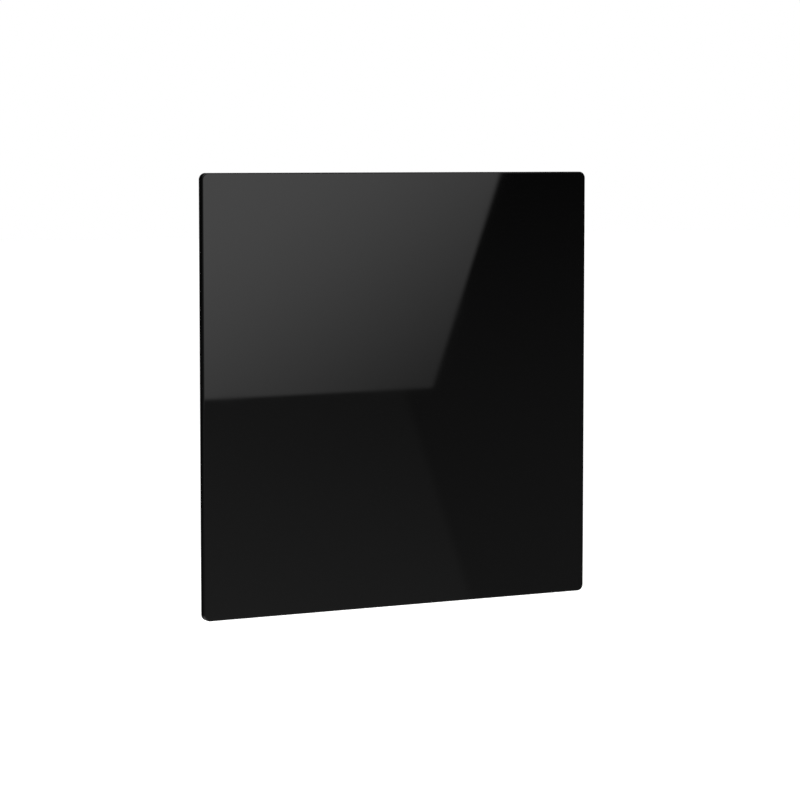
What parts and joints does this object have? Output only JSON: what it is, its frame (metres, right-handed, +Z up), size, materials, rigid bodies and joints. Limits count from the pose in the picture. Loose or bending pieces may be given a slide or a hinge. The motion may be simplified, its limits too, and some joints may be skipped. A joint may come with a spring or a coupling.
{
  "type": "infrared panel heater",
  "caption": "Frameless square black glass infrared panel heater that hangs on a steel wall frame, with a control box, rocker switch and cable gland behind it.",
  "frame": {"origin": "centre of the wall frame's four slots, on the wall plane", "axes": "+Z up, +Y into the wall, +X to the right of someone who faces the heater, so the glass front faces -Y"},
  "size_m": [0.6, 0.0423, 0.6],
  "materials": {
    "black_glass": "polished black enamelled tempered glass",
    "interlayer": "dark laminating sheet",
    "carbon_film": "carbon printed heating film",
    "copper": "tinned copper strip",
    "bonding_tape": "foamed acrylic tape",
    "rail_aluminium": "anodised extrusion",
    "cap_plastic": "moulded nylon",
    "zinc_steel": "zinc plated",
    "frame_paint": "fine textured powder coat",
    "housing_plastic": "fine spark-eroded moulding texture",
    "gasket_rubber": "silicone foam",
    "board_laminate": "solder-masked glass epoxy",
    "terminal_plastic": "moulded polyamide",
    "component_black": "potted plastic case",
    "capacitor_sleeve": "shrunk sleeve",
    "suppressor_plastic": "moulded box",
    "shield_steel": "tinned can",
    "led_epoxy": "clear epoxy",
    "clear_acrylic": "polished clear acrylic",
    "silicone_wire": "silicone insulation",
    "cutout_ceramic": "ceramic and aluminium disc",
    "spring_steel": "bright strip",
    "switch_plastic": "glossy moulded polyamide",
    "button_plastic": "satin grey cap",
    "tab_brass": "tinned brass",
    "gland_nylon": "moulded nylon",
    "seal_rubber": "soft rubber"
  },
  "bodies": {
    "wall_frame": {"left_wall_post": "frame_paint", "right_wall_post": "frame_paint", "upper_crossbar": "frame_paint", "lower_crossbar": "frame_paint", "frame_rivets": "zinc_steel"},
    "panel": {"front_glass": "black_glass", "front_interlayer": "interlayer", "heating_film": "carbon_film", "left_busbar": "copper", "right_busbar": "copper", "rear_interlayer": "interlayer", "rear_glass": "black_glass", "left_rail_tape": "bonding_tape", "right_rail_tape": "bonding_tape", "left_hanger_rail": "rail_aluminium", "right_hanger_rail": "rail_aluminium", "rail_end_caps": "cap_plastic", "slot_nuts": "zinc_steel", "spacer_sleeves": "zinc_steel", "shoulder_screws": "zinc_steel", "housing_tape": "bonding_tape", "control_housing": "housing_plastic", "lid_gasket": "gasket_rubber", "control_lid": "housing_plastic", "lid_screws": "zinc_steel", "circuit_board": "board_laminate", "board_screws": "zinc_steel", "terminal_block": "terminal_plastic", "terminal_screws": "zinc_steel", "relay": "component_black", "power_module": "component_black", "suppression_capacitor": "suppressor_plastic", "smoothing_capacitor": "capacitor_sleeve", "fuse": "component_black", "radio_module": "shield_steel", "room_sensor": "component_black", "switch_header": "component_black", "film_leads": "silicone_wire", "cutout_wires": "silicone_wire", "thermal_cutout": "cutout_ceramic", "cutout_clip": "spring_steel", "clip_screws": "zinc_steel", "tact_switch": "component_black", "status_led": "led_epoxy", "light_pipe": "clear_acrylic", "switch_body": "switch_plastic", "switch_tabs": "tab_brass", "switch_wires": "silicone_wire", "gland_body": "gland_nylon", "gland_seal": "seal_rubber", "gland_dome": "gland_nylon", "gland_locknut": "gland_nylon"},
    "rocker": {"rocker": "switch_plastic"},
    "button": {"push_button": "button_plastic", "button_plunger": "component_black"}
  },
  "joints": [
    {"name": "panel_lift", "type": "slide", "parent": "wall_frame", "child": "panel", "axis": [0, 0, 1], "range_m": [0, 0.014]},
    {"name": "rocker_rock", "type": "hinge", "parent": "panel", "child": "rocker", "pos_m": [0.222, -0.0171, -0.277], "axis": [0, 1, 0], "range_deg": [0, 18]},
    {"name": "button_press", "type": "slide", "parent": "panel", "child": "button", "axis": [0, 0, 1], "range_m": [0, 0.001], "stiffness_N_per_m": 1500, "springref_m": -0.0006}
  ]
}
